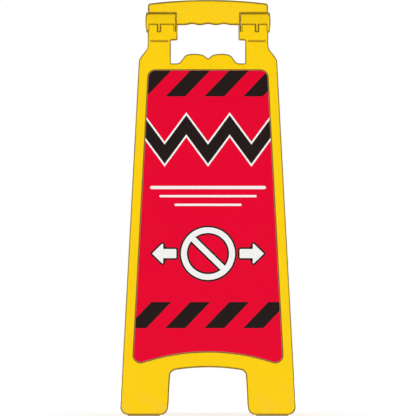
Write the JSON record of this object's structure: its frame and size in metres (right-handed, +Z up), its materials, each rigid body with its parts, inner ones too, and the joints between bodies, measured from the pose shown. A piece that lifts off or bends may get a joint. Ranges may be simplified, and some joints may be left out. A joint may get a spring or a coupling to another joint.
{
  "type": "folding stand sign",
  "caption": "Folding A-frame stand sign: hollow yellow moulded leaves with red sign boards, hinged on pins under a carrying handle, standing on rubber pads.",
  "frame": {"origin": "on the floor under the middle of the handle, with the sign opened", "axes": "+X across the sign to the right as seen from the front, +Y from the front leaf to the rear leaf, +Z up"},
  "size_m": [0.2656, 0.3082, 0.6324],
  "materials": {
    "yellow_plastic": "satin injection-moulded plastic, fine grain",
    "red_board": "satin printed plastic board",
    "foam_tape": "matt double-sided foam tape",
    "pad_rubber": "matt rubber",
    "pin_steel": "ground",
    "screw_steel": "plated"
  },
  "bodies": {
    "handle": {"handle_front_shell": "yellow_plastic", "handle_rear_shell": "yellow_plastic", "handle_screws": "screw_steel", "front_left_hinge_pin": "pin_steel", "front_right_hinge_pin": "pin_steel", "rear_left_hinge_pin": "pin_steel", "rear_right_hinge_pin": "pin_steel"},
    "front_leaf": {"front_frame": "yellow_plastic", "front_sign_plate": "red_board", "front_plate_tape": "foam_tape", "front_left_hinge_cap": "yellow_plastic", "front_left_foot_pad": "pad_rubber", "front_right_hinge_cap": "yellow_plastic", "front_right_foot_pad": "pad_rubber"},
    "rear_leaf": {"rear_frame": "yellow_plastic", "rear_sign_plate": "red_board", "rear_plate_tape": "foam_tape", "rear_left_hinge_cap": "yellow_plastic", "rear_left_foot_pad": "pad_rubber", "rear_right_hinge_cap": "yellow_plastic", "rear_right_foot_pad": "pad_rubber"}
  },
  "joints": [
    {"name": "front_leaf_fold", "type": "hinge", "parent": "handle", "child": "front_leaf", "pos_m": [0, -0.008, 0.604], "axis": [1, 0, 0], "range_deg": [0, 13]},
    {"name": "rear_leaf_fold", "type": "hinge", "parent": "handle", "child": "rear_leaf", "pos_m": [0, 0.008, 0.604], "axis": [-1, 0, 0], "range_deg": [0, 13]}
  ]
}
